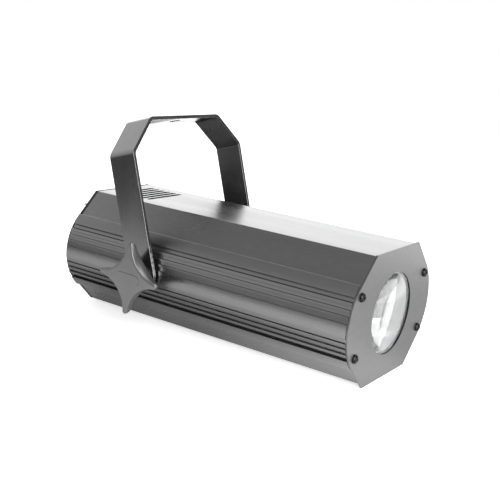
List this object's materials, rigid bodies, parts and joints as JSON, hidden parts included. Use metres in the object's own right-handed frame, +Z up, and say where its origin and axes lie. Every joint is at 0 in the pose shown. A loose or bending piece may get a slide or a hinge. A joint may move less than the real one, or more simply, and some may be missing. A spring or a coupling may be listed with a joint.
{
  "type": "led spotlight",
  "caption": "Long effect spotlight in an extruded tube housing with a domed front lens, a bent bar yoke on clamping star knobs, rear inlet and data sockets.",
  "frame": {"origin": "level with the front plate's lower edge, under the middle of the bounding box", "axes": "+Z up, -Y the way the lens faces, +X the housing's right hand side as seen from the front"},
  "size_m": [0.2498, 0.4086, 0.2408],
  "materials": {
    "gunmetal": "satin metallic grey paint on steel sheet",
    "gunmetal_profile": "satin metallic grey on extruded aluminium",
    "plate_metal": "satin metallic grey paint",
    "black_steel": "fine black powder coat",
    "screw_black": "blackened steel",
    "zinc": "bright zinc plate",
    "cast_metal": "silver grey paint on a casting",
    "glass": "clear, polished",
    "rubber": "matte",
    "white_sheet": "white gloss",
    "aluminium": "mill finish",
    "black_plastic": "fine texture",
    "board": "satin solder mask",
    "emitter": "clear over yellow",
    "display": "dark red filter",
    "wire": "smooth sheath"
  },
  "bodies": {
    "housing": {"front_plate": "plate_metal", "rear_plate": "black_steel", "top_cover": "gunmetal", "bottom_cover": "gunmetal", "left_side_profile": "gunmetal_profile", "right_side_profile": "gunmetal_profile", "front_screw_1": "screw_black", "front_screw_2": "screw_black", "front_screw_3": "screw_black", "front_screw_4": "screw_black", "rear_screw_1": "screw_black", "rear_screw_2": "screw_black", "rear_screw_3": "screw_black", "rear_screw_4": "screw_black", "left_friction_disc": "rubber", "right_friction_disc": "rubber", "left_pivot_nut": "zinc", "right_pivot_nut": "zinc", "front_lens": "glass", "lens_ring": "black_plastic", "light_baffle": "white_sheet", "wheel_motor": "black_plastic", "condenser_holder": "black_plastic", "condenser_lens": "glass", "led_board": "white_sheet", "led_emitter": "emitter", "heat_sink": "aluminium", "fan_frame": "black_plastic", "chassis": "aluminium", "power_supply": "aluminium", "driver_board": "board", "control_board": "board", "mains_lead_inner": "wire", "led_lead_inner": "wire", "mains_inlet": "black_plastic", "fuse_holder": "black_plastic", "data_in_socket": "black_plastic", "data_out_socket": "black_plastic", "display": "display", "safety_eye": "zinc"},
    "yoke_bar": {"yoke": "gunmetal", "left_knob_washer": "zinc", "right_knob_washer": "zinc"},
    "left_clamp": {"left_knob": "cast_metal", "left_knob_stud": "zinc"},
    "right_clamp": {"right_knob": "cast_metal", "right_knob_stud": "zinc"},
    "wheel": {"pattern_wheel": "black_steel", "wheel_hub": "aluminium"},
    "rotor": {"fan_rotor": "black_plastic"},
    "fuse": {"fuse_cap": "black_plastic"},
    "latch": {"data_out_latch": "zinc"},
    "menu": {"menu_button": "black_plastic"},
    "up": {"up_button": "black_plastic"},
    "down": {"down_button": "black_plastic"},
    "enter": {"enter_button": "black_plastic"},
    "dial": {"sensitivity_knob": "black_plastic"}
  },
  "joints": [
    {"name": "yoke_tilt", "type": "hinge", "parent": "housing", "child": "yoke_bar", "pos_m": [0, 0.06, 0.07], "axis": [1, 0, 0], "range_deg": [-90, 72]},
    {"name": "left_knob_turn", "type": "hinge", "parent": "housing", "child": "left_clamp", "pos_m": [-0.11, 0.06, 0.07], "axis": [-1, 0, 0], "range_deg": [0, 540]},
    {"name": "right_knob_turn", "type": "hinge", "parent": "housing", "child": "right_clamp", "pos_m": [0.11, 0.06, 0.07], "axis": [1, 0, 0], "range_deg": [0, 540]},
    {"name": "pattern_wheel_spin", "type": "hinge", "parent": "housing", "child": "wheel", "pos_m": [-0.03, -0.1143, 0.07], "axis": [0, 1, 0], "continuous": true},
    {"name": "fan_spin", "type": "hinge", "parent": "housing", "child": "rotor", "pos_m": [0, 0.0162, 0.07], "axis": [0, 1, 0], "continuous": true},
    {"name": "fuse_cap_turn", "type": "hinge", "parent": "housing", "child": "fuse", "pos_m": [0.004, 0.1863, 0.03], "axis": [0, 1, 0], "range_deg": [0, 90]},
    {"name": "sensitivity_turn", "type": "hinge", "parent": "housing", "child": "dial", "pos_m": [0.04, 0.1863, 0.04], "axis": [0, 1, 0], "range_deg": [-140, 140]},
    {"name": "data_latch_slide", "type": "slide", "parent": "housing", "child": "latch", "axis": [0, 0, 1], "range_m": [0, 0.0015], "stiffness_N_per_m": 300, "springref_m": -0.001},
    {"name": "menu_press", "type": "slide", "parent": "housing", "child": "menu", "axis": [0, -1, 0], "range_m": [0, 0.0012], "stiffness_N_per_m": 300, "springref_m": -0.001},
    {"name": "down_press", "type": "slide", "parent": "housing", "child": "down", "axis": [0, -1, 0], "range_m": [0, 0.0012], "stiffness_N_per_m": 300, "springref_m": -0.001},
    {"name": "up_press", "type": "slide", "parent": "housing", "child": "up", "axis": [0, -1, 0], "range_m": [0, 0.0012], "stiffness_N_per_m": 300, "springref_m": -0.001},
    {"name": "enter_press", "type": "slide", "parent": "housing", "child": "enter", "axis": [0, -1, 0], "range_m": [0, 0.0012], "stiffness_N_per_m": 300, "springref_m": -0.001}
  ]
}
